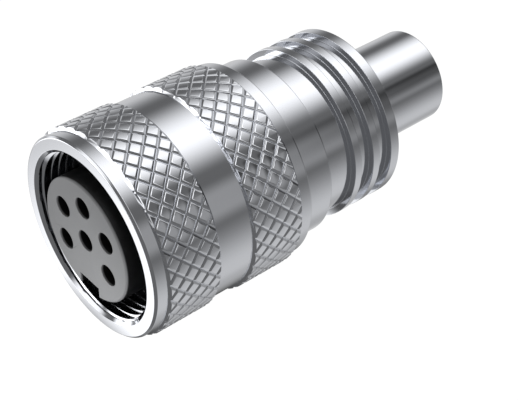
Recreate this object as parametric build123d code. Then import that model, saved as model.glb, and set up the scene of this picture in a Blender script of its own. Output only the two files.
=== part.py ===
"""Round cable connector with six socket contacts and a knurled coupling ring.

Sizes are in millimetres. The connector's axis runs along +Y, from the mating end to the cable end.
The origin is on that axis, in the plane of the coupling ring's front face, and the key notch is at -Z.
"""
import os
from math import cos, hypot, radians, sin, tan, tau

from build123d import *

# coupling ring, outside: front band, knurl, middle band, knurl, rear band
FRONT_BAND = 1.2
KNURL_WIDTH = 5.5
MIDDLE_BAND = 3.3
REAR_BAND = 1.1
RING_WALL = 0.8
FACE_CHAMFER = 0.2
EDGE_BREAK = 0.1

# diamond knurl: flat pads stand between two crossing sets of V grooves
KNURL_RISE = 0.32
GROOVE_DEPTH = 0.16
GROOVE_ANGLE = 90.0
PADS_AROUND = 36
KNURL_ROWS = 7
PAD_MARGIN = 0.05
PAD_ROOT = 0.08
CORE_MARGIN = 0.02

# coupling ring, inside: M16 x 0.75 thread, then a bore that turns on the shell
THREAD_RADIUS = 8.0
THREAD_PITCH = 0.75
THREAD_LENGTH = 6.9
MOUTH_CLEARANCE = 0.05
RELIEF_LENGTH = 1.0
RUN_CLEARANCE = 0.05
END_PLAY = 0.05

# front shell
BARREL_STEP = 0.4
BARREL_SHOWN = 3.1
SKIRT_STEP = 1.0
SKIRT_LENGTH = 1.3
SHELL_FRONT_WALL = 1.5
SHELL_WALL = 1.4
WASHER_THICKNESS = 0.5
SNAP_GROOVE_DEPTH = 0.45
SNAP_RING_WIDTH = 0.7
SNAP_RING_REACH = 0.3
SNAP_RING_GAP = 24.0
SNAP_RING_BACK = 3.6
FRICTION_RING_SECTION = 0.6
FRICTION_RING_BACK = 2.0
JOINT_SEAL_SECTION = 0.6
SEAT_CLEARANCE = 0.03

# socket insert
NOSE_RADIUS = 5.75
NOSE_PROUD = 0.3
NOSE_CHAMFER = 0.25
NECK_STEP = 0.2
NECK_RELIEF = 0.4
NOTCH_WIDTH = 2.7
NOTCH_FLOOR = 4.45
SEAL_THICKNESS = 0.7
GASKET_THICKNESS = 0.5
FLANGE_THICKNESS = 1.7
KEY_WIDTH = 1.4
KEY_HEIGHT = 0.4
RETAINER_THICKNESS = 1.6

# six contacts: one in the middle, five on a circle whose sixth place is over the notch
CONTACT_CIRCLE = 3.5
CONTACT_PLACES = 6
PIN_RADIUS = 0.5
CONTACT_RADIUS = 0.85
FACE_HOLE_RADIUS = 0.98
CONTACT_RECESS = 1.6
SOCKET_DEPTH = 5.2
SLOT_WIDTH = 0.22
SLOT_LENGTH = 4.2
COLLAR_RADIUS = 1.25
COLLAR_LENGTH = 1.0
CUP_BORE = 0.6
CUP_LENGTH = 5.4
CUP_DEPTH = 3.6
CUP_OPENING = 2.6

# rear adapter with ribs for a push-on boot, and the tube that the cable's screen is crimped to
ADAPTER_STEP = 0.8
ADAPTER_SHOWN = 8.35
SPIGOT_CLEARANCE = 0.05
SPIGOT_LENGTH = 4.4
SPIGOT_WALL = 0.75
REAR_WALL = 1.5
RIB_HEIGHT = 0.6
RIB_WIDTH = 0.8
RIB_PITCH = 2.17
FLANGE_WIDTH = 1.0
TUBE_RADIUS = 4.5
TUBE_WALL = 0.7
TUBE_SHOWN = 9.55
TUBE_FLANGE = 1.2
TUBE_SEAT_STEP = 0.2
TUBE_SEAT_PROUD = 0.15
SHIELD_RING_THICKNESS = 1.0
SLEEVE_WALL = 0.5

# radii of the metal pieces, worked outwards and inwards from the thread
barrel_radius = THREAD_RADIUS + BARREL_STEP
ring_bore = barrel_radius + RUN_CLEARANCE
band_radius = ring_bore + RING_WALL
knurl_radius = band_radius + KNURL_RISE
skirt_radius = barrel_radius - SKIRT_STEP
insert_bore = barrel_radius - SHELL_WALL
adapter_radius = barrel_radius - ADAPTER_STEP
spigot_radius = insert_bore - SPIGOT_CLEARANCE
adapter_bore = spigot_radius - SPIGOT_WALL
tube_bore = TUBE_RADIUS - TUBE_WALL
tube_seat_radius = TUBE_RADIUS + TUBE_SEAT_STEP

# places along the axis, each worked out from the sizes above
ring_length = FRONT_BAND + KNURL_WIDTH + MIDDLE_BAND + KNURL_WIDTH + REAR_BAND
minor_radius = THREAD_RADIUS - 0.5413 * THREAD_PITCH
mouth_radius = THREAD_RADIUS + MOUTH_CLEARANCE
thread_start = mouth_radius - minor_radius
thread_end = thread_start + THREAD_LENGTH
ring_shoulder = thread_end + RELIEF_LENGTH
washer_front = ring_shoulder + END_PLAY
shell_shoulder = washer_front + WASHER_THICKNESS
shell_front = shell_shoulder - SKIRT_LENGTH
seal_front = shell_front - SEAL_THICKNESS
neck_front = seal_front - NECK_RELIEF
gasket_front = shell_front + SHELL_FRONT_WALL
flange_front = gasket_front + GASKET_THICKNESS
retainer_front = flange_front + FLANGE_THICKNESS
retainer_rear = retainer_front + RETAINER_THICKNESS
snap_front = shell_shoulder + SNAP_RING_BACK
friction_middle = ring_length - FRICTION_RING_BACK
shell_rear = ring_length + BARREL_SHOWN
spigot_front = shell_rear - SPIGOT_LENGTH
adapter_rear = shell_rear + ADAPTER_SHOWN
tube_front = adapter_rear - REAR_WALL - TUBE_FLANGE
shield_ring_front = tube_front - SHIELD_RING_THICKNESS
tube_rear = adapter_rear + TUBE_SHOWN

# radii shared by pieces that fit together
neck_radius = NOSE_RADIUS - NECK_STEP
insert_radius = insert_bore - SEAT_CLEARANCE
snap_floor = barrel_radius - SNAP_GROOVE_DEPTH
snap_outer = barrel_radius + SNAP_RING_REACH
sleeve_radius = adapter_bore - SEAT_CLEARANCE
sleeve_bore = sleeve_radius - SLEEVE_WALL
contact_front = CONTACT_RECESS - NOSE_PROUD


def turned(*outline):
    """Solid of revolution about the axis, from (radius, place along the axis) points."""
    return revolve(make_face(Polyline(*outline, close=True)), Axis.Y)


def turned_ring(inner, outer, front, rear):
    """Plain ring of square section."""
    return turned((inner, front), (outer, front), (outer, rear), (inner, rear))


def along_axis(radius, front, rear, x=0.0, z=0.0):
    """Plain cylinder parallel to the axis."""
    disc = Plane((x, front, z), x_dir=(1, 0, 0), z_dir=(0, 1, 0)) * Circle(radius)
    return extrude(disc, rear - front)


def contact_places():
    """The middle contact, then the circle's contacts clockwise from the notch as the mate sees them."""
    places = [(0.0, 0.0)]
    for place in range(1, CONTACT_PLACES):
        angle = tau * place / CONTACT_PLACES
        places.append((-CONTACT_CIRCLE * sin(angle), -CONTACT_CIRCLE * cos(angle)))
    return places


def knurl_ridge(side, middle):
    """Straight ridge between two grooves of one set. Side 1 or -1 says which of the two sets."""
    half_round = tau * knurl_radius / PADS_AROUND / 2
    half_along = KNURL_WIDTH / KNURL_ROWS
    length = hypot(half_round, half_along)
    half_pitch = half_round * half_along / length
    flank = tan(radians(GROOVE_ANGLE / 2))
    bottom = knurl_radius - GROOVE_DEPTH - PAD_ROOT
    top_half = half_pitch - GROOVE_DEPTH * flank
    bottom_half = half_pitch + PAD_ROOT * flank
    section = Plane((0, middle, 0), x_dir=(1, 0, 0), z_dir=(0, side * half_along, half_round)) * make_face(
        Polyline((bottom, -bottom_half), (knurl_radius, -top_half), (knurl_radius, top_half),
                 (bottom, bottom_half), close=True))
    return extrude(section, 2 * length, both=True)


def knurl_trim(knurl_front):
    """Roof-shaped block that trims the pads of a knurled band at 45 degrees at both its ends."""
    front = knurl_front + PAD_MARGIN
    rear = knurl_front + KNURL_WIDTH - PAD_MARGIN
    middle = (front + rear) / 2
    peak = band_radius + middle - front
    roof = make_face(Polyline((0, front), (band_radius, front), (peak, middle), (band_radius, rear),
                              (0, rear), close=True))
    return extrude(roof, knurl_radius, both=True)


def knurl_pad(row, knurl_front):
    """One pad of a row, left where two ridges cross. It stands on the ring's +X side."""
    middle = knurl_front + row * KNURL_WIDTH / KNURL_ROWS
    return knurl_ridge(1, middle) & knurl_ridge(-1, middle) & knurl_trim(knurl_front)


def knurl_band(knurl_front):
    """Raised band with 45 degree shoulders, covered in staggered rows of pads."""
    core = knurl_radius - GROOVE_DEPTH - CORE_MARGIN
    rise = core - band_radius
    rear = knurl_front + KNURL_WIDTH
    inside = band_radius - GROOVE_DEPTH
    band = turned((inside, knurl_front), (band_radius, knurl_front), (core, knurl_front + rise),
                  (core, rear - rise), (band_radius, rear), (inside, rear))
    pads = []
    for row in range(KNURL_ROWS + 1):
        pad = knurl_pad(row, knurl_front)
        for place in range(PADS_AROUND):
            turn = 360 * (place + row % 2 / 2) / PADS_AROUND
            pads += pad.rotate(Axis.Y, turn).solids()
    return band.fuse(*pads)


def ring_blank():
    """The turned blank of the coupling ring, before its two knurled bands are raised."""
    snap_groove = turned_ring(
        ring_bore - RUN_CLEARANCE, snap_outer + RUN_CLEARANCE,
        snap_front - END_PLAY, snap_front + SNAP_RING_WIDTH + END_PLAY,
    )
    return turned(
        (mouth_radius, 0), (band_radius - FACE_CHAMFER, 0), (band_radius, FACE_CHAMFER),
        (band_radius, ring_length - EDGE_BREAK), (band_radius - EDGE_BREAK, ring_length),
        (ring_bore, ring_length), (ring_bore, ring_shoulder), (mouth_radius, ring_shoulder),
        (mouth_radius, thread_end), (minor_radius, thread_end), (minor_radius, thread_start),
    ) - snap_groove


def coupling_ring():
    """Knurled ring with the internal thread. It turns freely on the shell."""
    first = knurl_band(FRONT_BAND)
    second = Pos(0, KNURL_WIDTH + MIDDLE_BAND, 0) * first
    return ring_blank().fuse(first, second)


def snap_ring():
    """Split spring ring that holds the coupling ring on the shell."""
    ring = turned_ring(snap_floor + SEAT_CLEARANCE, snap_outer, snap_front, snap_front + SNAP_RING_WIDTH)
    half = radians(SNAP_RING_GAP / 2)
    reach = 2 * snap_outer
    gap = make_face(Polyline((0, 0), (reach * cos(half), reach * sin(half)),
                             (reach * cos(half), -reach * sin(half)), close=True))
    wedge = Plane((0, snap_front, 0), x_dir=(0, 0, 1), z_dir=(0, 1, 0)) * gap
    return ring - extrude(wedge, SNAP_RING_WIDTH)


def thrust_washer():
    """Plastic washer between the ring's inner shoulder and the shell's."""
    return turned_ring(skirt_radius + SEAT_CLEARANCE, barrel_radius, washer_front, shell_shoulder)


def friction_groove():
    """Room for the friction ring, cut into the shell under the coupling ring's rear end."""
    half = FRICTION_RING_SECTION / 2 + SEAT_CLEARANCE
    floor = barrel_radius - FRICTION_RING_SECTION - SEAT_CLEARANCE
    return turned_ring(floor, barrel_radius + 1, friction_middle - half, friction_middle + half)


def friction_ring():
    """Rubber ring that drags a little on the coupling ring and keeps it from rattling."""
    half = FRICTION_RING_SECTION / 2
    return turned_ring(barrel_radius - FRICTION_RING_SECTION, barrel_radius,
                       friction_middle - half, friction_middle + half)


def front_shell():
    """Turned shell: skirt, running surface for the ring, and the barrel that shows behind the ring."""
    nose_bore = neck_radius + SEAT_CLEARANCE
    outline = [
        (nose_bore, shell_front), (skirt_radius, shell_front), (skirt_radius, shell_shoulder),
        (barrel_radius, shell_shoulder), (barrel_radius, shell_rear - EDGE_BREAK),
        (barrel_radius - EDGE_BREAK, shell_rear), (insert_bore, shell_rear),
        (insert_bore, gasket_front), (nose_bore, gasket_front),
    ]
    snap_groove = turned_ring(snap_floor, barrel_radius + 1, snap_front - SEAT_CLEARANCE,
                              snap_front + SNAP_RING_WIDTH + SEAT_CLEARANCE)
    return turned(*outline) - snap_groove - friction_groove() - joint_seal_seat() - key_slot()


def key_slot():
    """Slot in the shell's bore for the insert's key."""
    width = KEY_WIDTH + 2 * SEAT_CLEARANCE
    height = insert_bore + KEY_HEIGHT
    low = Pos(0, (flange_front + spigot_front) / 2, -height / 2)
    return low * Box(width, spigot_front - flange_front, height) - along_axis(
        insert_bore - SEAT_CLEARANCE, flange_front, spigot_front)


def joint_seal_seat():
    """Counterbore in the shell's rear face for the seal against the adapter."""
    return turned_ring(insert_bore - 0.1, insert_bore + JOINT_SEAL_SECTION,
                       shell_rear - JOINT_SEAL_SECTION, shell_rear)


def joint_seal():
    """Square rubber ring between the shell's rear end and the adapter's shoulder."""
    return turned_ring(insert_bore, insert_bore + JOINT_SEAL_SECTION - SEAT_CLEARANCE,
                       shell_rear - JOINT_SEAL_SECTION, shell_rear)


def front_seal():
    """Flat rubber ring round the insert's nose, which the mate's rim is pressed on."""
    return turned_ring(neck_radius + SEAT_CLEARANCE, skirt_radius, seal_front, shell_front)


def insert_gasket():
    """Flat rubber ring between the insert's flange and the shell's front wall."""
    return turned_ring(neck_radius + SEAT_CLEARANCE, insert_radius, gasket_front, flange_front)


def insert_body():
    """Moulded insert: the keyed nose, its flange, and six stepped holes for the contacts."""
    front = -NOSE_PROUD
    solid = turned(
        (0, front), (NOSE_RADIUS - NOSE_CHAMFER, front), (NOSE_RADIUS, front + NOSE_CHAMFER),
        (NOSE_RADIUS, neck_front), (neck_radius, neck_front), (neck_radius, flange_front),
        (insert_radius, flange_front), (insert_radius, retainer_front), (0, retainer_front),
    )
    key_top = insert_bore + KEY_HEIGHT - SEAT_CLEARANCE
    key_middle = (key_top + neck_radius) / 2
    solid += Pos(0, flange_front + FLANGE_THICKNESS / 2, -key_middle) * Box(
        KEY_WIDTH, FLANGE_THICKNESS, key_top - neck_radius)
    notch_depth = NOSE_RADIUS - NOTCH_FLOOR
    notch_length = neck_front + NOSE_PROUD
    solid -= Pos(0, front + notch_length / 2, -NOTCH_FLOOR - notch_depth) * Box(
        NOTCH_WIDTH, notch_length, 2 * notch_depth)
    for x, z in contact_places():
        solid -= along_axis(FACE_HOLE_RADIUS, front, retainer_front, x, z)
        solid -= along_axis(COLLAR_RADIUS + SEAT_CLEARANCE, retainer_front - COLLAR_LENGTH,
                            retainer_front, x, z)
    return solid


def contact_retainer():
    """Plastic disc that closes the insert from behind and traps the contacts' collars."""
    solid = turned_ring(0, insert_radius, retainer_front, retainer_rear)
    for x, z in contact_places():
        solid -= along_axis(CONTACT_RADIUS + SEAT_CLEARANCE, retainer_front, retainer_rear, x, z)
    return solid


def contact(x, z):
    """Turned socket contact: slotted spring mouth, collar, and a solder cup open on its upper side."""
    cup_rear = retainer_rear + CUP_LENGTH
    solid = along_axis(CONTACT_RADIUS, contact_front, cup_rear, x, z)
    solid += along_axis(COLLAR_RADIUS, retainer_front - COLLAR_LENGTH, retainer_front, x, z)
    solid -= along_axis(PIN_RADIUS, contact_front, contact_front + SOCKET_DEPTH, x, z)
    solid -= along_axis(CUP_BORE, cup_rear - CUP_DEPTH, cup_rear, x, z)
    slot_middle = contact_front + SLOT_LENGTH / 2
    for wide, high in ((2 * CONTACT_RADIUS, SLOT_WIDTH), (SLOT_WIDTH, 2 * CONTACT_RADIUS)):
        solid -= Pos(x, slot_middle, z) * Box(wide, SLOT_LENGTH, high)
    opening = Box(2 * CONTACT_RADIUS, CUP_OPENING, CONTACT_RADIUS)
    return solid - Pos(x, cup_rear - CUP_OPENING / 2, z + CONTACT_RADIUS / 2) * opening


def insulating_sleeve():
    """Plastic tube that keeps the soldered wires off the metal, and presses the insert forward."""
    return turned_ring(sleeve_bore, sleeve_radius, retainer_rear, shield_ring_front)


def shield_ring():
    """Metal ring with a countersunk front that the cable's screen is spread against."""
    chamfer = SHIELD_RING_THICKNESS / 2
    return turned(
        (tube_bore + chamfer, shield_ring_front), (sleeve_radius, shield_ring_front),
        (sleeve_radius, tube_front), (tube_bore, tube_front), (tube_bore, shield_ring_front + chamfer),
    )


def rear_adapter():
    """Screwed into the shell's rear end. Square-fronted ribs outside hold a boot or shrink sleeve."""
    outline = [(adapter_bore, spigot_front), (spigot_radius, spigot_front),
               (spigot_radius, shell_rear), (adapter_radius, shell_rear)]
    crest = adapter_radius + RIB_HEIGHT
    flange = adapter_rear - FLANGE_WIDTH
    for back in (2, 1):
        rib = flange - back * RIB_PITCH
        outline += [(adapter_radius, rib), (crest, rib), (crest, rib + RIB_WIDTH),
                    (adapter_radius, rib + RIB_WIDTH)]
    outline += [
        (adapter_radius, flange), (crest, flange), (crest, adapter_rear - EDGE_BREAK),
        (crest - EDGE_BREAK, adapter_rear), (tube_seat_radius + SEAT_CLEARANCE, adapter_rear),
        (tube_seat_radius + SEAT_CLEARANCE, adapter_rear - REAR_WALL),
        (adapter_bore, adapter_rear - REAR_WALL),
    ]
    return turned(*outline)


def crimp_tube():
    """Tube that carries the cable's screen, held in the adapter by its flange and centred by its seat."""
    flange_rear = tube_front + TUBE_FLANGE
    seat_rear = adapter_rear + TUBE_SEAT_PROUD
    return turned(
        (tube_bore, tube_front), (sleeve_radius, tube_front), (sleeve_radius, flange_rear),
        (tube_seat_radius, flange_rear), (tube_seat_radius, seat_rear),
        (TUBE_RADIUS, seat_rear), (TUBE_RADIUS, tube_rear - EDGE_BREAK),
        (TUBE_RADIUS - EDGE_BREAK, tube_rear), (tube_bore, tube_rear),
    )


def build():
    nodes = {
        "coupling_ring": coupling_ring(),
        "snap_ring": snap_ring(),
        "thrust_washer": thrust_washer(),
        "friction_ring": friction_ring(),
        "front_shell": front_shell(),
        "front_seal": front_seal(),
        "insert_gasket": insert_gasket(),
        "insert_body": insert_body(),
        "contact_retainer": contact_retainer(),
        "insulating_sleeve": insulating_sleeve(),
        "shield_ring": shield_ring(),
        "joint_seal": joint_seal(),
        "rear_adapter": rear_adapter(),
        "crimp_tube": crimp_tube(),
    }
    for number, (x, z) in enumerate(contact_places(), start=1):
        nodes[f"contact_{number}"] = contact(x, z)
    return nodes


os.makedirs("parts", exist_ok=True)
for name, shape in build().items():
    export_step(shape, f"parts/{name}.step")
    print(name, round(shape.volume, 3))
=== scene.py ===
from math import cos, hypot, pi, radians, sin, tau

import bmesh
import bpy
from mathutils import Matrix, Vector


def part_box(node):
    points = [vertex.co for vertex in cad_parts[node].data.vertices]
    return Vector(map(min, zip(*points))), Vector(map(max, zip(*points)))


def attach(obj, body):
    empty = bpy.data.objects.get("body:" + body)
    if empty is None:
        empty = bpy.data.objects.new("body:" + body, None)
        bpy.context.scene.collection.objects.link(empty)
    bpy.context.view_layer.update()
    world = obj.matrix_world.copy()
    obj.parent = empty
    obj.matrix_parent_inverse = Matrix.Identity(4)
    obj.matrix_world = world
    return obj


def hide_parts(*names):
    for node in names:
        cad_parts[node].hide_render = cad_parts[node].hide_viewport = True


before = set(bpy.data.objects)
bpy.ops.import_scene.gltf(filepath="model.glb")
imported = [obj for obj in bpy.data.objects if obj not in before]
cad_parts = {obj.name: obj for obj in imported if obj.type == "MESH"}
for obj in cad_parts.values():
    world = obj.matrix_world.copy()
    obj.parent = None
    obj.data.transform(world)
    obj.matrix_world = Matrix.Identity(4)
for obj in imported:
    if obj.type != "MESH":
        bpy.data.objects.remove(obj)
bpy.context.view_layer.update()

mm = 0.001
scene = bpy.context.scene


# helpers that every piece uses

def hexColour(text):
    # sRGB hex to the linear colour that a shader wants
    def toLinear(value):
        return value / 12.92 if value <= 0.04045 else ((value + 0.055) / 1.055) ** 2.4
    return tuple(toLinear(int(text[at:at + 2], 16) / 255) for at in (1, 3, 5)) + (1.0,)


def addNode(tree, kind, inputs=None, **settings):
    # one node with its settings, and a value or a link for each input; a Mix node takes its share at 0, its
    # numbers at 2 and 3, its vectors at 4 and 5 and its colours at 6 and 7
    node = tree.nodes.new(kind)
    for key, value in settings.items():
        setattr(node, key, value)
    for socket, value in (inputs or {}).items():
        if isinstance(value, bpy.types.NodeSocket):
            tree.links.new(value, node.inputs[socket])
        else:
            node.inputs[socket].default_value = value
    return node


def newMaterial(name):
    material = bpy.data.materials.new(name)
    material.use_nodes = True
    material.node_tree.nodes.clear()
    return material, material.node_tree


def newObject(name, mesh, material=None):
    piece = bpy.data.objects.new(name, mesh)
    scene.collection.objects.link(piece)
    if material:
        mesh.materials.clear()
        mesh.materials.append(material)
    return piece


def bakedMesh(piece, name):
    # the evaluated object as a plain mesh; the object itself is removed
    bpy.context.view_layer.update()
    evaluated = piece.evaluated_get(bpy.context.evaluated_depsgraph_get())
    mesh = bpy.data.meshes.new_from_object(evaluated)
    mesh.name = name
    bpy.data.objects.remove(piece)
    return mesh


def meshFrom(work, name):
    mesh = bpy.data.meshes.new(name)
    work.to_mesh(mesh)
    work.free()
    return mesh


def openEdges(work):
    # how many edges lack a face on one side: none on a closed piece
    return sum(1 for edge in work.edges if len(edge.link_faces) != 2)


# camera: as high above the connector and as far to its right as in the photograph

cameraSetup = {
    "place": (72.91, -44.10, 74.27),       # mm
    "right": (0.6473, 0.7622, 0.0075),
    "up": (-0.4910, 0.4094, 0.7690),
    "lens": 94.0,                          # mm
    "sensor": 36.0,                        # mm
    "clipStart": 5.0,                      # mm
}

right = Vector(cameraSetup["right"]).normalized()
back = right.cross(Vector(cameraSetup["up"])).normalized()
up = back.cross(right)
cameraData = bpy.data.cameras.new("camera")
cameraData.lens = cameraSetup["lens"]
cameraData.sensor_width = cameraSetup["sensor"]
cameraData.sensor_fit = "HORIZONTAL"
cameraData.clip_start = cameraSetup["clipStart"] * mm
camera = bpy.data.objects.new("camera", cameraData)
camera.matrix_world = Matrix.Translation(Vector(cameraSetup["place"]) * mm) @ Matrix(
    (right, up, back)).transposed().to_4x4()
scene.collection.objects.link(camera)
scene.camera = camera
scene.view_settings.view_transform = "Standard"
print("camera set")


# studio: soft light bands along the connector, which its barrels show as stripes, and cards before its face

studio = {
    "base": 0.15,                          # level of the dim room
    "backWall": (0.66, 0.84, 0.40),        # between these leans to the rear the bands fade to this share
    # each band: the degrees round the axis where it starts, is full, stops being full and ends; its level;
    # the leans to the rear between which it comes up
    "bands": (
        ((50, 91, 99, 150), 1.22, (-0.22, -0.08)),       # long softbox overhead
        ((-7, 10, 26, 42), 0.21, (-0.30, 0.10)),         # low card on the right
        ((-110, -68, -62, 2), 0.49, (-0.30, 0.10)),      # bright table to the right
        ((154, 192, 240, 282), 0.50, (-0.30, 0.10)),     # pale wall and table to the left
    ),
    "flag": ((-4, 24, 38, 48), 0.75, (0.48, 0.62)),      # black flag that darkens the rear end's side
    # strip light that lies across, in front; between the last two leans it fades again
    "crossLight": ((14, 38, 75, 100), 0.95, (-0.27, -0.17), (0.25, 0.12)),
    # each card: its direction, its full and its outer half angle in degrees, its level
    "cards": (
        ((-0.45, -0.84, 0.30), 14, 26, 1.15),            # softbox in front, above
        ((-0.35, -0.93, 0.02), 15, 25, 1.10),            # large white card in front
        ((-0.52, -0.40, -0.755), 6.5, 18, 1.25),         # white reflector on the table in front
        ((-0.86, -0.43, -0.26), 13, 22, 1.90),           # window at the left, far off
    ),
    "matteLevel": 0.33,                    # the even light that matte surfaces get from the whole room
}


def buildWorld():
    world = bpy.data.worlds.new("studio")
    world.use_nodes = True
    tree = world.node_tree
    tree.nodes.clear()
    aim = addNode(tree, "ShaderNodeTexCoord").outputs["Generated"]
    direction = addNode(tree, "ShaderNodeSeparateXYZ", {0: aim}).outputs
    turn = addNode(tree, "ShaderNodeMath", {0: direction["Z"], 1: direction["X"]},
                   operation="ARCTAN2").outputs[0]

    def bandShare(corners, strength, *leans):
        # how much of a band a direction shows, from its turn round the axis and its lean to the rear
        middle = (corners[1] + corners[2]) / 2
        outer, full, fullEnd, outerEnd = (radians(corner - middle) for corner in corners)
        offset = addNode(tree, "ShaderNodeMath", {0: turn, 1: radians(middle)}, operation="SUBTRACT")
        wrapped = addNode(tree, "ShaderNodeMath", {0: offset.outputs[0], 1: pi, 2: -pi},
                          operation="WRAP").outputs[0]
        share = 1.0
        for value, low, high, top in ((wrapped, outer, full, strength), (wrapped, outerEnd, fullEnd, 1.0),
                                      *((direction["Y"], *lean) for lean in leans)):
            edge = addNode(tree, "ShaderNodeMapRange", {"Value": value, "From Min": low, "From Max": high,
                                                        "To Max": top}, interpolation_type="SMOOTHSTEP")
            share = addNode(tree, "ShaderNodeMath", {0: edge.outputs[0], 1: share},
                            operation="MULTIPLY").outputs[0]
        return share

    wallStart, wallEnd, wallShare = studio["backWall"]
    wall = addNode(tree, "ShaderNodeMapRange", {
        "Value": direction["Y"], "From Min": wallStart, "From Max": wallEnd,
        "To Min": 1.0, "To Max": wallShare}, interpolation_type="SMOOTHSTEP").outputs[0]
    level = studio["base"]
    for corners, strength, lean in studio["bands"]:
        level = addNode(tree, "ShaderNodeMath", {0: bandShare(corners, strength, (*lean, wall)), 1: level},
                        operation="ADD").outputs[0]
    corners, strength, lean, fade = studio["crossLight"]
    cross = bandShare(corners, strength, (*lean, 1.0), (*fade, 1.0))
    level = addNode(tree, "ShaderNodeMath", {0: cross, 1: level}, operation="ADD").outputs[0]
    corners, strength, lean = studio["flag"]
    unflagged = addNode(tree, "ShaderNodeMath", {0: 1.0, 1: bandShare(corners, strength, (*lean, 1.0))},
                        operation="SUBTRACT")
    level = addNode(tree, "ShaderNodeMath", {0: level, 1: unflagged.outputs[0]},
                    operation="MULTIPLY").outputs[0]
    for towards, full, outer, strength in studio["cards"]:
        facing = addNode(tree, "ShaderNodeVectorMath", {0: aim, 1: tuple(Vector(towards).normalized())},
                         operation="DOT_PRODUCT")
        card = addNode(tree, "ShaderNodeMapRange", {
            "Value": facing.outputs["Value"], "From Min": cos(radians(outer)), "From Max": cos(radians(full)),
            "To Max": strength}, interpolation_type="SMOOTHSTEP")
        level = addNode(tree, "ShaderNodeMath", {0: level, 1: card.outputs[0]}, operation="ADD").outputs[0]
    path = addNode(tree, "ShaderNodeLightPath").outputs
    lit = addNode(tree, "ShaderNodeMix", {0: path["Is Diffuse Ray"], 2: level, 3: studio["matteLevel"]})
    strength = addNode(tree, "ShaderNodeMix", {0: path["Is Camera Ray"], 2: lit.outputs[0], 3: 1.0})
    shader = addNode(tree, "ShaderNodeBackground", {"Color": hexColour("#ffffff"),
                                                   "Strength": strength.outputs[0]})
    addNode(tree, "ShaderNodeOutputWorld", {"Surface": shader.outputs[0]})
    scene.world = world


floorPlan = {
    "half": 900.0,                         # mm
    "drop": 0.02,                          # mm under the lowest point of the knurl
    "colour": "#ececec",
    "shadowShare": 0.15,                   # how much of the real shadow the camera sees
    "cameraGlow": 1.17,                    # with that share of the lit floor the camera sees plain white
    "aside": (9.0, 5.0),                   # mm from the axis: where the contact shadows start and are full
    # contact shadows that metal sees: the mm along the axis where each starts, is full, stops being full and
    # ends; its share
    "shadows": ((-2.0, 1.0, 18.5, 21.0, 1.0), (27.5, 29.5, 32.5, 35.0, 0.7)),
    "shadowLevel": 0.10,
}


def buildFloor():
    # the camera sees it white with a faint shadow; metal looks past it to the room, but for contact shadows
    material, tree = newMaterial("studioFloor")
    place = addNode(tree, "ShaderNodeSeparateXYZ",
                    {0: addNode(tree, "ShaderNodeTexCoord").outputs["Object"]}).outputs
    path = addNode(tree, "ShaderNodeLightPath").outputs
    shade = 0.0
    for frontOut, frontIn, rearIn, rearOut, share in floorPlan["shadows"]:
        along = 1.0
        for low, high, top in ((frontOut, frontIn, share), (rearOut, rearIn, 1.0)):
            edge = addNode(tree, "ShaderNodeMapRange", {
                "Value": place["Y"], "From Min": low * mm, "From Max": high * mm, "To Max": top},
                interpolation_type="SMOOTHSTEP")
            along = addNode(tree, "ShaderNodeMath", {0: edge.outputs[0], 1: along},
                            operation="MULTIPLY").outputs[0]
        shade = addNode(tree, "ShaderNodeMath", {0: along, 1: shade}, operation="ADD").outputs[0]
    aside = addNode(tree, "ShaderNodeMath", {0: place["X"]}, operation="ABSOLUTE").outputs[0]
    asideOut, asideIn = floorPlan["aside"]
    near = addNode(tree, "ShaderNodeMapRange", {
        "Value": aside, "From Min": asideOut * mm, "From Max": asideIn * mm}, interpolation_type="SMOOTHSTEP")
    strip = addNode(tree, "ShaderNodeMath", {0: near.outputs[0], 1: shade}, operation="MULTIPLY").outputs[0]
    diffuse = addNode(tree, "ShaderNodeBsdfDiffuse", {"Color": hexColour(floorPlan["colour"])})
    glow = addNode(tree, "ShaderNodeEmission", {"Color": hexColour("#ffffff"),
                                                "Strength": floorPlan["cameraGlow"]})
    dim = addNode(tree, "ShaderNodeEmission", {"Color": hexColour("#ffffff"),
                                               "Strength": floorPlan["shadowLevel"]})
    clear = addNode(tree, "ShaderNodeBsdfTransparent")
    forGlossy = addNode(tree, "ShaderNodeMixShader", {0: strip, 1: clear.outputs[0], 2: dim.outputs[0]})
    seenShare = addNode(tree, "ShaderNodeMath", {0: path["Is Camera Ray"], 1: 1 - floorPlan["shadowShare"]},
                        operation="MULTIPLY")
    forCamera = addNode(tree, "ShaderNodeMixShader", {0: seenShare.outputs[0], 1: diffuse.outputs[0],
                                                      2: glow.outputs[0]})
    both = addNode(tree, "ShaderNodeMixShader", {0: path["Is Glossy Ray"], 1: forCamera.outputs[0],
                                                 2: forGlossy.outputs[0]})
    addNode(tree, "ShaderNodeOutputMaterial", {"Surface": both.outputs[0]})
    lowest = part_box("coupling_ring")[0].z - floorPlan["drop"] * mm
    half = floorPlan["half"] * mm
    mesh = bpy.data.meshes.new("studioFloor")
    mesh.from_pydata([(-half, -half, lowest), (half, -half, lowest), (half, half, lowest),
                      (-half, half, lowest)], [], [(0, 1, 2, 3)])
    newObject("studioFloor", mesh, material)


lowLamp = {
    "place": (5.0, -13.0, -5.5),           # mm
    "aim": (1.0, 0.0, -3.0),               # mm, the point it shines at
    "size": 6.0,                           # mm
    "power": 0.0009,                       # watts
}


def buildLowLamp():
    # small soft lamp low in front, which lifts the lower half of the insert's matte face
    data = bpy.data.lights.new("lowLamp", "AREA")
    data.size, data.energy = lowLamp["size"] * mm, lowLamp["power"]
    lamp = bpy.data.objects.new("lowLamp", data)
    lamp.location = Vector(lowLamp["place"]) * mm
    towards = Vector(lowLamp["aim"]) - Vector(lowLamp["place"])
    lamp.rotation_euler = towards.to_track_quat("-Z", "Y").to_euler()
    lamp.visible_glossy = False
    lamp.visible_camera = False
    scene.collection.objects.link(lamp)


buildWorld()
buildFloor()
buildLowLamp()
print("studio built")


# materials

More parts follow.
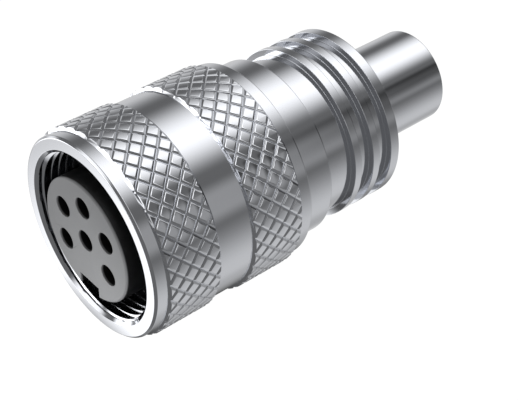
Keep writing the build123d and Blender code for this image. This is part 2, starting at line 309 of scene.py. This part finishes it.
metalFinish = {
    "marks": (0.06, 9.0, 0.06),            # turning marks in a mm: nine along the axis, long ones round it
    "markDepth": 0.00036,                  # mm
    "markStrength": 0.6,
    "clouds": 0.26,                        # patches in a mm, some a little duller than others
    "roughnessSpread": 0.02,
}


def turnedMetal(name, colour, roughness):
    # a mirror or a satin metal, with faint turning marks that run round the axis
    finish = metalFinish
    material, tree = newMaterial(name)
    place = addNode(tree, "ShaderNodeTexCoord").outputs["Object"]
    stretched = addNode(tree, "ShaderNodeMapping", {
        "Vector": place, "Scale": tuple(count / mm for count in finish["marks"])})
    marks = addNode(tree, "ShaderNodeTexNoise", {"Vector": stretched.outputs[0], "Scale": 1.0, "Detail": 2.0})
    clouds = addNode(tree, "ShaderNodeTexNoise", {"Vector": place, "Scale": finish["clouds"] / mm,
                                                  "Detail": 3.0})
    rough = addNode(tree, "ShaderNodeMapRange", {
        "Value": clouds.outputs[0], "To Min": roughness - finish["roughnessSpread"],
        "To Max": roughness + finish["roughnessSpread"]})
    bump = addNode(tree, "ShaderNodeBump", {
        "Height": marks.outputs[0], "Distance": finish["markDepth"] * mm, "Strength": finish["markStrength"]})
    shader = addNode(tree, "ShaderNodeBsdfPrincipled", {
        "Base Color": hexColour(colour), "Metallic": 1.0, "Roughness": rough.outputs[0],
        "Normal": bump.outputs[0]})
    addNode(tree, "ShaderNodeOutputMaterial", {"Surface": shader.outputs[0]})
    return material


plasticFinish = {
    "clouds": 0.3,                         # patches in a mm, some a little lighter or duller than others
    "tintSpread": 0.06,
    "roughnessSpread": 0.05,
    "grainDepth": 0.004,                   # mm
    "grainStrength": 0.5,
}


def mouldedPlastic(name, colour, roughness=0.45, grainSize=0.12, paintedShadeColour=None, paintedShadeFrom=(0.0, 0.0)):
    # moulded in a finely spark-eroded mould: an even satin with a soft fine grain, grainSize in mm; a darker
    # colour behind a place along the axis is painted shade
    finish = plasticFinish
    material, tree = newMaterial(name)
    place = addNode(tree, "ShaderNodeTexCoord").outputs["Object"]
    grain = addNode(tree, "ShaderNodeTexNoise", {"Vector": place, "Scale": 1 / (grainSize * mm),
                                                 "Detail": 2.0})
    clouds = addNode(tree, "ShaderNodeTexNoise", {"Vector": place, "Scale": finish["clouds"] / mm,
                                                  "Detail": 2.0})
    low, high = (tuple(min(1.0, share * part) for part in hexColour(colour)[:3]) + (1.0,)
                 for share in (1 - finish["tintSpread"], 1 + finish["tintSpread"]))
    tint = addNode(tree, "ShaderNodeMix", {0: clouds.outputs[0], 6: low, 7: high},
                   data_type="RGBA").outputs[2]
    if paintedShadeColour:
        # painted shade: behind this place along the axis the colour fades to near black, standing in for the
        # shade in the ring's cavity round the nose and down the holes
        along = addNode(tree, "ShaderNodeSeparateXYZ", {0: place}).outputs["Y"]
        rear = addNode(tree, "ShaderNodeMapRange", {"Value": along, "From Min": paintedShadeFrom[0] * mm,
                                                    "From Max": paintedShadeFrom[1] * mm}).outputs[0]
        tint = addNode(tree, "ShaderNodeMix", {0: rear, 6: tint, 7: hexColour(paintedShadeColour)},
                       data_type="RGBA").outputs[2]
    rough = addNode(tree, "ShaderNodeMapRange", {
        "Value": clouds.outputs[0], "To Min": roughness - finish["roughnessSpread"],
        "To Max": roughness + finish["roughnessSpread"]})
    bump = addNode(tree, "ShaderNodeBump", {
        "Height": grain.outputs[0], "Distance": finish["grainDepth"] * mm,
        "Strength": finish["grainStrength"]})
    shader = addNode(tree, "ShaderNodeBsdfPrincipled", {
        "Base Color": tint, "Roughness": rough.outputs[0], "IOR": 1.5, "Normal": bump.outputs[0]})
    addNode(tree, "ShaderNodeOutputMaterial", {"Surface": shader.outputs[0]})
    return material


# bright nickel plate on turned brass: a clear cool mirror that shows the room's bands as sharp stripes
nickel = turnedMetal("nickelPlateTurned", "#e1e3e8", 0.09)
# moulded polyamide: a dull mid grey face; behind it the side and the hole walls are painted near black as the
# shade in the ring's cavity and the holes
insertGrey = mouldedPlastic("insertPolyamidePaintedShade", "#97989a", paintedShadeColour="#0f0f10",
                            paintedShadeFrom=(-0.21, -0.07))
# moulded polyamide, dyed black: an even dark satin
retainerBlack = mouldedPlastic("retainerPolyamideMoulded", "#141415")
# moulded nitrile rubber: black and dull, with a coarser grain and no clear highlight
sealRubber = mouldedPlastic("sealRubberMoulded", "#1d1d1e", 0.65, 0.2)
# moulded acetal, undyed: a warm white with a slightly waxy shine
slidePlastic = mouldedPlastic("slideAcetalMoulded", "#e6e4dc", 0.4, 0.2)
# moulded polyamide, undyed: the same shine on a duller, creamy grey
sleevePlastic = mouldedPlastic("sleevePolyamideMoulded", "#cfcdc4", 0.4, 0.2)
# drawn spring steel: a darker grey with broad soft highlights
springSteel = turnedMetal("springSteelDrawn", "#8f8e8c", 0.28)
# gold plate on turned brass: a warm metal, soft enough to glint without a clear mirror
contactGold = turnedMetal("contactGoldPlated", "#e0b866", 0.2)
print("materials built")


# turned pieces: each is the true section, with its edges broken, spun about the axis

turnedSteps = 216

edgeBreak = {
    "size": 0.04,                          # mm, where the outline gives none of its own
    "steps": 4,
    "mostOfSide": 0.3,                     # of a side beside the corner, at most
    "hold": 0.5,                           # of the size: how far past the round a point holds the side flat
    "holdOfSide": 0.1,                     # of a side, at most
}


def brokenCorners(outline, closed, edge):
    # outline: (radius, along) or (radius, along, own edge size); each corner gets a small round
    limits = edgeBreak
    found = []
    count = len(outline)
    for at, corner in enumerate(outline):
        here = Vector(corner[:2])
        if not closed and at in (0, count - 1):
            found.append(here)
            continue
        before = Vector(outline[at - 1][:2]) - here
        after = Vector(outline[(at + 1) % count][:2]) - here
        size = corner[2] if len(corner) > 2 else edge
        size = min(size, *(limits["mostOfSide"] * side.length for side in (before, after)))
        hold = min(limits["hold"] * size, *(limits["holdOfSide"] * side.length for side in (before, after)))
        towards, onwards = before.normalized(), after.normalized()
        start, end = here + towards * size, here + onwards * size
        found.append(start + towards * hold)
        for step in range(limits["steps"] + 1):
            t = step / limits["steps"]
            found.append(start * (1 - t) ** 2 + here * 2 * t * (1 - t) + end * t ** 2)
        found.append(end + onwards * hold)
    return found


def spunMesh(name, outline, closed=True, edge=edgeBreak["size"]):
    # points of the section round the Y axis, as smooth quads
    section = brokenCorners(outline, closed, edge)
    verts, faces = [], []
    for radius, along in section:
        for step in range(turnedSteps):
            turn = tau * step / turnedSteps
            verts.append((radius * cos(turn) * mm, along * mm, radius * sin(turn) * mm))
    rings = len(section)
    for ring in range(rings if closed else rings - 1):
        low, high = ring * turnedSteps, (ring + 1) % rings * turnedSteps
        for step in range(turnedSteps):
            after = (step + 1) % turnedSteps
            faces.append((low + step, low + after, high + after, high + step))
    mesh = bpy.data.meshes.new(name)
    mesh.from_pydata(verts, [], faces)
    mesh.shade_smooth()
    return mesh


def outwards(mesh, merge=0.0):
    # points nearer than merge become one, then all faces of the closed mesh point outwards
    work = bmesh.new()
    work.from_mesh(mesh)
    if merge:
        bmesh.ops.remove_doubles(work, verts=work.verts, dist=merge)
    bmesh.ops.recalc_face_normals(work, faces=work.faces)
    work.to_mesh(mesh)
    work.free()
    return mesh


# sizes of the pieces in mm: radii, places along the axis, and edges; a groove has its front, its rear and
# its floor, and the seal's seat has its front and its radius

frontShell = {
    "running": 8.4, "skirt": 7.4, "noseBore": 5.58, "insertBore": 7.0,
    "front": 7.606, "shoulder": 8.906, "gasketWall": 9.106, "rear": 19.7,
    "snapGroove": (12.476, 13.236, 7.95), "frictionGroove": (14.27, 14.93, 7.77),
    "sealSeat": (19.1, 7.6), "edge": 0.1,
}


def buildFrontShell():
    s = frontShell
    outline = [(s["noseBore"], s["front"]), (s["skirt"], s["front"]), (s["skirt"], s["shoulder"]),
               (s["running"], s["shoulder"])]
    for front, rear, floor in (s["snapGroove"], s["frictionGroove"]):
        outline += [(s["running"], front), (floor, front), (floor, rear), (s["running"], rear)]
    outline += [(s["running"], s["rear"], s["edge"]), (s["sealSeat"][1], s["rear"]),
                (s["sealSeat"][1], s["sealSeat"][0]), (s["insertBore"], s["sealSeat"][0]),
                (s["insertBore"], s["gasketWall"]), (s["noseBore"], s["gasketWall"])]
    piece = newObject("frontShell", outwards(spunMesh("frontShell", outline)), nickel)
    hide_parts("front_shell")
    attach(piece, "shell")


rearAdapter = {
    "radius": 7.6, "crest": 8.2, "bore": 6.2, "spigot": 6.95, "tubeBore": 4.73,
    "spigotFront": 15.3, "front": 19.7, "rear": 28.05, "wall": 1.5,
    "ribs": ((22.71, 23.51), (24.88, 25.68)), "flange": 27.05, "edge": 0.09, "ribEdge": 0.07,
}


def buildRearAdapter():
    a = rearAdapter
    outline = [(a["bore"], a["spigotFront"]), (a["spigot"], a["spigotFront"]), (a["spigot"], a["front"]),
               (a["radius"], a["front"])]
    for front, rear in a["ribs"]:
        outline += [(a["radius"], front), (a["crest"], front), (a["crest"], rear, a["ribEdge"]),
                    (a["radius"], rear)]
    outline += [(a["radius"], a["flange"]), (a["crest"], a["flange"]), (a["crest"], a["rear"], a["edge"]),
                (a["tubeBore"], a["rear"]), (a["tubeBore"], a["rear"] - a["wall"]),
                (a["bore"], a["rear"] - a["wall"])]
    piece = newObject("rearAdapter", outwards(spunMesh("rearAdapter", outline)), nickel)
    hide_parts("rear_adapter")
    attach(piece, "shell")


crimpTube = {
    "bore": 3.8, "radius": 4.5, "seat": 4.7, "flange": 6.17, "front": 25.35, "flangeRear": 26.55,
    "seatRear": 28.2, "rear": 37.6, "edge": 0.1, "boreEdge": 0.08,
}


def buildCrimpTube():
    t = crimpTube
    outline = [(t["bore"], t["front"]), (t["flange"], t["front"]), (t["flange"], t["flangeRear"]),
               (t["seat"], t["flangeRear"]), (t["seat"], t["seatRear"]), (t["radius"], t["seatRear"]),
               (t["radius"], t["rear"], t["edge"]), (t["bore"], t["rear"], t["boreEdge"])]
    piece = newObject("crimpTube", outwards(spunMesh("crimpTube", outline)), nickel)
    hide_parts("crimp_tube")
    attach(piece, "shell")


buildFrontShell()
buildRearAdapter()
buildCrimpTube()
print("shell, adapter and tube built")


# coupling ring: spun bands and bore, a thread and two knurled bands

couplingRing = {
    "length": 16.6, "bandRadius": 9.25, "mouth": 8.05, "bore": 8.45, "snapRoom": (12.456, 13.256, 8.75),
    "shoulder": 8.356, "leadIn": 0.04, "faceChamfer": 0.2, "rearEdge": 0.1,
    "knurlFronts": (1.2, 10.0), "knurlWidth": 5.5, "knurlRadius": 9.57,
    "frontRun": 0.55, "rearRun": 1.0,      # mm along the axis for each mm of a shoulder's height
    "padsAround": 36, "knurlRows": 7, "stepsPerPad": 6,
    "threadMajor": 8.0, "threadMinor": 7.594, "threadPitch": 0.75, "threadRows": 16,
    "crestFlat": 0.25, "rootFlat": 0.125,  # of the pitch
    "plainLength": 0.26, "threadEnd": 7.356,
    "cutSlope": 4.0,                       # mm that the thread deepens in each mm behind its plain cone
    "onPlane": 1e-6, "samePoint": 1e-5,    # mm, how near a point counts as on a cut, and as the same point
    "treeMerge": 0.001, "partMerge": 0.002,   # mm, points nearer than this become one
    "shortestEdge": 0.0005,                # mm, shorter edges are dropped
    "sharpFrom": 27,                       # degrees
}

# the pad's edge, from the groove's bottom inwards: (distance from the bottom, height), mm
padEdge = ((0.0, -0.116), (0.020, -0.1125), (0.066, -0.0889), (0.140, -0.0330), (0.189, -0.0079),
           (0.205, -0.0025), (0.220, 0.0))


def knurlStrip():
    # one strip of pads laid flat, x round, y along and z out, with a sloping shoulder at each end
    k = couplingRing
    halfRound = pi * k["knurlRadius"] / k["padsAround"]
    halfAlong = k["knurlWidth"] / k["knurlRows"]
    toBottom = halfRound * halfAlong / hypot(halfRound, halfAlong)
    rise = k["knurlRadius"] - k["bandRadius"]
    strip = bmesh.new()
    centre = strip.verts.layers.float.new("padCentre")
    foot = strip.verts.layers.float.new("foot")
    for row in range(k["knurlRows"] + 1):
        middle = row % 2 * halfRound
        levels = []
        for distance, height in padEdge:
            share = 1 - distance / toBottom
            level = [strip.verts.new((middle + halfRound * share * x, (row + share * y) * halfAlong, height))
                     for x, y in ((1, 0), (0, 1), (-1, 0), (0, -1))]
            for vert in level:
                vert[centre] = middle
                vert[foot] = 1.0 if distance == 0.0 else 0.0
            levels.append(level)
        for low, high in zip(levels, levels[1:]):
            for side in range(4):
                strip.faces.new((low[side], low[side - 3], high[side - 3], high[side]))
        strip.faces.new(levels[-1])
    stepLength = 2 * halfRound / k["stepsPerPad"]
    for end, towards, run in ((0.0, 1.0, k["frontRun"]), (k["knurlWidth"], -1.0, k["rearRun"])):
        everything = strip.verts[:] + strip.edges[:] + strip.faces[:]
        cut = bmesh.ops.bisect_plane(strip, geom=everything, plane_co=(0, end, -rise),
                                     plane_no=(0, towards, -run), clear_inner=True, dist=k["onPlane"])
        chain = sorted((v for v in cut["geom_cut"] if isinstance(v, bmesh.types.BMVert)),
                       key=lambda v: v.co.x)
        chain = [v for at, v in enumerate(chain)
                 if at == 0 or (v.co - chain[at - 1].co).length > k["samePoint"]]
        first = int(chain[0].co.x // stepLength) + 1   # first whole step past the cut's first point
        base = []
        for step in range(k["stepsPerPad"] + 1):
            vert = strip.verts.new(((first + step) * stepLength, end, -rise))
            vert[centre], vert[foot] = 0.0, 1.0
            base.append(vert)
        shoulder = strip.faces.new(chain + base[::-1])
        shoulder.normal_update()               # a new face has no normal yet
        bmesh.ops.triangulate(strip, faces=[shoulder], ngon_method="EAR_CLIP")
    bmesh.ops.scale(strip, vec=(mm, mm, mm), verts=strip.verts)
    for vert in strip.verts:
        vert[centre] *= mm
    return meshFrom(strip, "knurlStrip")


def newTree(name, inputs, output):
    # an empty geometry tree with named inputs, and each input's identifier
    tree = bpy.data.node_groups.new(name, "GeometryNodeTree")
    ports = {}
    for label, kind in inputs:
        socket = tree.interface.new_socket(label, in_out="INPUT", socket_type="NodeSocket" + kind)
        ports[label] = socket.identifier
    tree.interface.new_socket(output, in_out="OUTPUT", socket_type="NodeSocketGeometry")
    return tree, ports


def knurlTree():
    # repeats the flat strip round the ring and on each band, and bends it: the pads stay flat, and the
    # grooves' bottoms and the shoulders' feet follow the round
    tree, ports = newTree("knurl", (
        ("Strip", "Geometry"), ("Strips Around", "Int"), ("Bands", "Int"), ("Band Distance", "Float"),
        ("Knurl Radius", "Float"), ("Material", "Material")), "Knurl")
    given = addNode(tree, "NodeGroupInput").outputs
    count = addNode(tree, "ShaderNodeMath", {0: given["Strips Around"], 1: given["Bands"]},
                    operation="MULTIPLY")
    points = addNode(tree, "GeometryNodePoints", {"Count": count.outputs[0]})
    strips = addNode(tree, "GeometryNodeInstanceOnPoints", {"Points": points.outputs[0],
                                                            "Instance": given["Strip"]})
    index = addNode(tree, "GeometryNodeInputIndex").outputs[0]
    place = addNode(tree, "ShaderNodeMath", {0: index, 1: given["Strips Around"]}, operation="MODULO")
    share = addNode(tree, "ShaderNodeMath", {0: place.outputs[0], 1: given["Strips Around"]},
                    operation="DIVIDE")
    turn = addNode(tree, "ShaderNodeMath", {0: share.outputs[0], 1: tau}, operation="MULTIPLY")
    band = addNode(tree, "ShaderNodeMath", {0: index, 1: given["Strips Around"]}, operation="DIVIDE")
    whole = addNode(tree, "ShaderNodeMath", {0: band.outputs[0]}, operation="FLOOR")
    shift = addNode(tree, "ShaderNodeMath", {0: whole.outputs[0], 1: given["Band Distance"]},
                    operation="MULTIPLY")
    turned = addNode(tree, "GeometryNodeStoreNamedAttribute", {
        "Geometry": strips.outputs[0], "Name": "turn", "Value": turn.outputs[0]}, domain="INSTANCE")
    shifted = addNode(tree, "GeometryNodeStoreNamedAttribute", {
        "Geometry": turned.outputs[0], "Name": "shift", "Value": shift.outputs[0]}, domain="INSTANCE")
    real = addNode(tree, "GeometryNodeRealizeInstances", {"Geometry": shifted.outputs[0]})
    flat = addNode(tree, "ShaderNodeSeparateXYZ", {0: addNode(tree, "GeometryNodeInputPosition").outputs[0]})
    read = {}
    for name in ("turn", "shift", "padCentre", "foot"):
        read[name] = addNode(tree, "GeometryNodeInputNamedAttribute", {"Name": name},
                             data_type="FLOAT").outputs[0]
    radius = addNode(tree, "ShaderNodeMath", {0: given["Knurl Radius"], 1: flat.outputs[2]}, operation="ADD")
    along = addNode(tree, "ShaderNodeMath", {0: flat.outputs[1], 1: read["shift"]}, operation="ADD")
    ways = []
    for about, aside in ((read["padCentre"], True), (flat.outputs[0], False)):
        own = addNode(tree, "ShaderNodeMath", {0: about, 1: given["Knurl Radius"]}, operation="DIVIDE")
        total = addNode(tree, "ShaderNodeMath", {0: own.outputs[0], 1: read["turn"]}, operation="ADD")
        angle = addNode(tree, "ShaderNodeMath", {0: total.outputs[0], 1: -1.0}, operation="MULTIPLY")
        start = addNode(tree, "ShaderNodeCombineXYZ", {0: radius.outputs[0], 1: along.outputs[0], 2: 0.0})
        if aside:
            off = addNode(tree, "ShaderNodeMath", {0: flat.outputs[0], 1: about}, operation="SUBTRACT")
            tree.links.new(off.outputs[0], start.inputs[2])
        ways.append(addNode(tree, "ShaderNodeVectorRotate", {
            "Vector": start.outputs[0], "Axis": (0.0, 1.0, 0.0), "Angle": angle.outputs[0]},
            rotation_type="AXIS_ANGLE").outputs[0])
    bent = addNode(tree, "ShaderNodeMix", {0: read["foot"], 4: ways[0], 5: ways[1]}, data_type="VECTOR")
    placed = addNode(tree, "GeometryNodeSetPosition", {"Geometry": real.outputs[0],
                                                       "Position": bent.outputs[1]})
    merged = addNode(tree, "GeometryNodeMergeByDistance", {"Geometry": placed.outputs[0],
                                                           "Distance": couplingRing["treeMerge"] * mm})
    plain = addNode(tree, "GeometryNodeRealizeInstances", {"Geometry": merged.outputs[0]})
    done = addNode(tree, "GeometryNodeSetMaterial", {"Geometry": plain.outputs[0],
                                                     "Material": given["Material"]})
    addNode(tree, "NodeGroupOutput", {0: done.outputs[0]})
    return tree, ports


def threadTree():
    # a grid wound into a ribbon: it climbs one pitch a turn, and both its ends are held to plain circles
    k = couplingRing
    tree, ports = newTree("thread", (
        ("Steps Around", "Int"), ("Turns", "Int"), ("Rows Per Turn", "Int"), ("Pitch", "Float"),
        ("Major Radius", "Float"), ("Minor Radius", "Float"), ("Mouth Radius", "Float"), ("Start", "Float"),
        ("Plain Length", "Float"), ("End", "Float"), ("Material", "Material")), "Thread")
    given = addNode(tree, "NodeGroupInput").outputs
    columns = addNode(tree, "ShaderNodeMath", {0: given["Steps Around"], 1: 1.0}, operation="ADD")
    rows = addNode(tree, "ShaderNodeMath", {0: given["Turns"], 1: given["Rows Per Turn"], 2: 1.0},
                   operation="MULTIPLY_ADD")
    grid = addNode(tree, "GeometryNodeMeshGrid", {
        "Size X": 1.0, "Size Y": 1.0, "Vertices X": columns.outputs[0], "Vertices Y": rows.outputs[0]})
    flat = addNode(tree, "ShaderNodeSeparateXYZ", {0: addNode(tree, "GeometryNodeInputPosition").outputs[0]})
    turnShare = addNode(tree, "ShaderNodeMath", {0: flat.outputs[0], 1: 0.5}, operation="ADD")
    row = addNode(tree, "ShaderNodeMath", {0: flat.outputs[1], 1: 0.5}, operation="ADD")
    climbed = addNode(tree, "ShaderNodeMath", {0: row.outputs[0], 1: given["Turns"]}, operation="MULTIPLY")
    tilted = addNode(tree, "ShaderNodeMath", {0: climbed.outputs[0], 1: turnShare.outputs[0]},
                     operation="SUBTRACT")
    height = addNode(tree, "ShaderNodeMath", {0: tilted.outputs[0], 1: given["Pitch"], 2: given["Start"]},
                     operation="MULTIPLY_ADD")
    lowHeld = addNode(tree, "ShaderNodeMath", {0: height.outputs[0], 1: given["Start"]}, operation="MAXIMUM")
    held = addNode(tree, "ShaderNodeMath", {0: lowHeld.outputs[0], 1: given["End"]}, operation="MINIMUM")
    phase = addNode(tree, "ShaderNodeMath", {0: climbed.outputs[0]}, operation="FRACT")
    offset = addNode(tree, "ShaderNodeMath", {0: phase.outputs[0], 1: 0.5}, operation="SUBTRACT")
    away = addNode(tree, "ShaderNodeMath", {0: offset.outputs[0]}, operation="ABSOLUTE")
    # a metric thread's 60 degree form: flat crests and roots, and a straight flank between them
    form = addNode(tree, "ShaderNodeMapRange", {
        "Value": away.outputs[0], "From Min": k["crestFlat"] / 2, "From Max": (1 - k["rootFlat"]) / 2,
        "To Min": given["Minor Radius"], "To Max": given["Major Radius"]})
    leadIn = addNode(tree, "ShaderNodeMath", {0: given["Mouth Radius"], 1: held.outputs[0]},
                     operation="SUBTRACT")
    toEnd = addNode(tree, "ShaderNodeMath", {0: given["End"], 1: held.outputs[0]}, operation="SUBTRACT")
    runOut = addNode(tree, "ShaderNodeMath", {0: given["Mouth Radius"], 1: toEnd.outputs[0]},
                     operation="SUBTRACT")
    past = addNode(tree, "ShaderNodeMath", {0: held.outputs[0], 1: given["Plain Length"]},
                   operation="SUBTRACT")
    # behind the plain cone the cut soon reaches its full depth
    deepest = addNode(tree, "ShaderNodeMath", {
        0: past.outputs[0], 1: k["cutSlope"], 2: given["Minor Radius"]}, operation="MULTIPLY_ADD")
    cut = addNode(tree, "ShaderNodeMath", {0: form.outputs[0], 1: deepest.outputs[0]}, operation="MINIMUM")
    first = addNode(tree, "ShaderNodeMath", {0: cut.outputs[0], 1: leadIn.outputs[0]}, operation="MAXIMUM")
    radius = addNode(tree, "ShaderNodeMath", {0: first.outputs[0], 1: runOut.outputs[0]}, operation="MAXIMUM")
    angle = addNode(tree, "ShaderNodeMath", {0: turnShare.outputs[0], 1: -tau}, operation="MULTIPLY")
    start = addNode(tree, "ShaderNodeCombineXYZ", {0: radius.outputs[0], 1: held.outputs[0], 2: 0.0})
    wound = addNode(tree, "ShaderNodeVectorRotate", {
        "Vector": start.outputs[0], "Axis": (0.0, 1.0, 0.0), "Angle": angle.outputs[0]},
        rotation_type="AXIS_ANGLE")
    placed = addNode(tree, "GeometryNodeSetPosition", {"Geometry": grid.outputs[0],
                                                       "Position": wound.outputs[0]})
    merged = addNode(tree, "GeometryNodeMergeByDistance", {"Geometry": placed.outputs[0],
                                                           "Distance": k["treeMerge"] * mm})
    real = addNode(tree, "GeometryNodeRealizeInstances", {"Geometry": merged.outputs[0]})
    done = addNode(tree, "GeometryNodeSetMaterial", {"Geometry": real.outputs[0],
                                                     "Material": given["Material"]})
    addNode(tree, "NodeGroupOutput", {0: done.outputs[0]})
    return tree, ports


def grownMesh(name, mesh, tree, ports, values):
    # the result of a geometry tree as a plain mesh
    helper = newObject(name, mesh)
    modifier = helper.modifiers.new(name, "NODES")
    modifier.node_group = tree
    for port, value in values.items():
        modifier[ports[port]] = value
    return bakedMesh(helper, name)


def buildCouplingRing():
    k = couplingRing
    mouth, band, length = k["mouth"], k["bandRadius"], k["length"]
    parts = [
        spunMesh("frontBand", [
            (mouth - k["leadIn"], k["leadIn"]), (mouth, 0.0), (band - k["faceChamfer"], 0.0),
            (band, k["faceChamfer"]), (band, k["knurlFronts"][0])], closed=False),
        spunMesh("middleBand", [(band, k["knurlFronts"][0] + k["knurlWidth"]), (band, k["knurlFronts"][1])],
                 closed=False),
        spunMesh("rearBand", [
            (band, k["knurlFronts"][1] + k["knurlWidth"]), (band, length, k["rearEdge"]),
            (k["bore"], length), (k["bore"], k["snapRoom"][1]), (k["snapRoom"][2], k["snapRoom"][1]),
            (k["snapRoom"][2], k["snapRoom"][0]), (k["bore"], k["snapRoom"][0]), (k["bore"], k["shoulder"]),
            (mouth, k["shoulder"]), (mouth, k["threadEnd"])], closed=False),
    ]
    tree, ports = knurlTree()
    parts.append(grownMesh("knurl", knurlStrip(), tree, ports, {
        "Strips Around": k["padsAround"], "Bands": len(k["knurlFronts"]),
        "Knurl Radius": k["knurlRadius"] * mm,
        "Band Distance": (k["knurlFronts"][1] - k["knurlFronts"][0]) * mm, "Material": nickel}))
    parts[-1].transform(Matrix.Translation((0, k["knurlFronts"][0] * mm, 0)))
    tree, ports = threadTree()
    turns = int(k["threadEnd"] / k["threadPitch"]) + 2   # reaches the end even where it starts a turn early
    parts.append(grownMesh("thread", bpy.data.meshes.new("threadSeed"), tree, ports, {
        "Steps Around": turnedSteps, "Turns": turns, "Rows Per Turn": k["threadRows"],
        "Pitch": k["threadPitch"] * mm, "Major Radius": k["threadMajor"] * mm,
        "Minor Radius": k["threadMinor"] * mm, "Mouth Radius": mouth * mm, "Start": k["leadIn"] * mm,
        "Plain Length": k["plainLength"] * mm, "End": k["threadEnd"] * mm, "Material": nickel}))
    ring = bmesh.new()
    for part in parts:
        ring.from_mesh(part)
    bmesh.ops.remove_doubles(ring, verts=ring.verts, dist=k["partMerge"] * mm)
    bmesh.ops.dissolve_degenerate(ring, edges=ring.edges, dist=k["shortestEdge"] * mm)
    bmesh.ops.recalc_face_normals(ring, faces=ring.faces)
    loose = openEdges(ring)
    mesh = meshFrom(ring, "couplingRing")
    mesh.set_sharp_from_angle(angle=radians(k["sharpFrom"]))
    print("coupling ring: faces", len(mesh.polygons), "edges without two faces", loose)
    piece = newObject("couplingRing", mesh, nickel)
    for polygon in mesh.polygons:
        polygon.material_index = 0         # the mesh has one slot only
    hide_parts("coupling_ring")
    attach(piece, "ring")


buildCouplingRing()
print("coupling ring built")


# insert: the keyed grey nose with six stepped holes

insertBody = {
    "front": -0.3, "nose": 5.75, "noseChamfer": 0.14, "neck": 5.55, "flange": 6.97,
    "neckFront": 6.506, "flangeFront": 9.606, "flangeRear": 11.306, "collarRoom": 1.0,
    "notchWidth": 2.7, "notchFloor": 4.45, "holeRadius": 0.98, "collarRadius": 1.28,
    "contactCircle": 3.5, "places": 6, "keyWidth": 1.4, "keyTop": 7.37, "holeSteps": 64,
    "keyInset": 0.05,                      # mm, how far the key stays within its flange
    "overcut": 1.0,                        # mm, how far a cut reaches past the solid
    "axisRadius": 0.0001, "merge": 0.003,  # mm, a pinhole on the axis that the merge closes
    "edge": 0.035, "edgeSteps": 2,         # mm, the round on its edges
    "edgeFrom": 35, "sharpFrom": 20,       # degrees
}


def contactPlaces():
    # the middle hole, then the circle's holes, whose sixth place is over the notch
    b = insertBody
    places = [(0.0, 0.0)]
    for number in range(1, b["places"]):
        turn = tau * number / b["places"]
        places.append((-b["contactCircle"] * sin(turn), -b["contactCircle"] * cos(turn)))
    return places


def boxInto(work, low, high):
    # a block between two corners, in mm
    made = bmesh.ops.create_cube(work, size=1.0)["verts"]
    for vert in made:
        vert.co = Vector([(low[a] + high[a]) / 2 + vert.co[a] * (high[a] - low[a]) for a in range(3)]) * mm


def columnInto(work, x, z, outline):
    # solid of revolution about a line parallel to the axis, closed at both ends
    steps = insertBody["holeSteps"]
    turns = [tau * step / steps for step in range(steps)]
    rings = []
    for radius, along in outline:
        rings.append([work.verts.new(((x + radius * cos(turn)) * mm, along * mm,
                                      (z + radius * sin(turn)) * mm)) for turn in turns])
    for low, high in zip(rings, rings[1:]):
        for step in range(steps):
            after = (step + 1) % steps
            work.faces.new((low[step], low[after], high[after], high[step]))
    work.faces.new(rings[0][::-1])
    work.faces.new(rings[-1])


def buildInsert():
    b = insertBody
    front, rear, past = b["front"], b["flangeRear"], b["overcut"]
    body = spunMesh("insertBody", [
        (b["axisRadius"], front), (b["nose"] - b["noseChamfer"], front),
        (b["nose"], front + b["noseChamfer"]), (b["nose"], b["neckFront"]), (b["neck"], b["neckFront"]),
        (b["neck"], b["flangeFront"]), (b["flange"], b["flangeFront"]), (b["flange"], rear),
        (b["axisRadius"], rear)], closed=False, edge=0.0)
    piece = newObject("insertBody", outwards(body, b["merge"] * mm), insertGrey)

    key = bmesh.new()
    boxInto(key, (-b["keyWidth"] / 2, b["flangeFront"] + b["keyInset"], -b["keyTop"]),
            (b["keyWidth"] / 2, rear - b["keyInset"], -b["neck"]))
    keyPiece = newObject("insertKey", meshFrom(key, "insertKey"))

    cuts = bmesh.new()
    boxInto(cuts, (-b["notchWidth"] / 2, front - past, -b["nose"] - past),
            (b["notchWidth"] / 2, b["neckFront"], -b["notchFloor"]))
    for x, z in contactPlaces():
        hole, room = b["holeRadius"], b["collarRadius"]
        columnInto(cuts, x, z, [(hole, front - past), (hole, rear - b["collarRoom"]),
                                (room, rear - b["collarRoom"]), (room, rear + past)])
    bmesh.ops.recalc_face_normals(cuts, faces=cuts.faces)
    cutPiece = newObject("insertCuts", meshFrom(cuts, "insertCuts"))

    for other, way in ((keyPiece, "UNION"), (cutPiece, "DIFFERENCE")):
        boolean = piece.modifiers.new(way, "BOOLEAN")
        boolean.operation, boolean.solver, boolean.object = way, "EXACT", other
    bevel = piece.modifiers.new("edges", "BEVEL")
    bevel.width, bevel.segments, bevel.limit_method = b["edge"] * mm, b["edgeSteps"], "ANGLE"
    bevel.angle_limit = radians(b["edgeFrom"])
    bevel.use_clamp_overlap = False
    bevel.harden_normals = False
    mesh = bakedMesh(piece, "insertBody")
    for helper in (keyPiece, cutPiece):
        bpy.data.objects.remove(helper)
    work = bmesh.new()
    work.from_mesh(mesh)
    loose = openEdges(work)
    work.free()
    mesh.shade_smooth()
    mesh.set_sharp_from_angle(angle=radians(b["sharpFrom"]))
    print("insert: faces", len(mesh.polygons), "edges without two faces", loose)
    piece = newObject("insertBody", mesh, insertGrey)
    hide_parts("insert_body")
    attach(piece, "shell")


buildInsert()
print("insert built")


# inner pieces keep their CAD shapes and get their own finishes

innerFinishes = {
    "snap_ring": springSteel, "thrust_washer": slidePlastic, "friction_ring": sealRubber,
    "front_seal": sealRubber, "insert_gasket": sealRubber, "joint_seal": sealRubber,
    "contact_retainer": retainerBlack, "insulating_sleeve": sleevePlastic, "shield_ring": nickel,
}
for number in range(1, insertBody["places"] + 1):
    innerFinishes[f"contact_{number}"] = contactGold
for node, material in innerFinishes.items():
    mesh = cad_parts[node].data
    mesh.materials.clear()
    mesh.materials.append(material)
print("inner pieces finished")
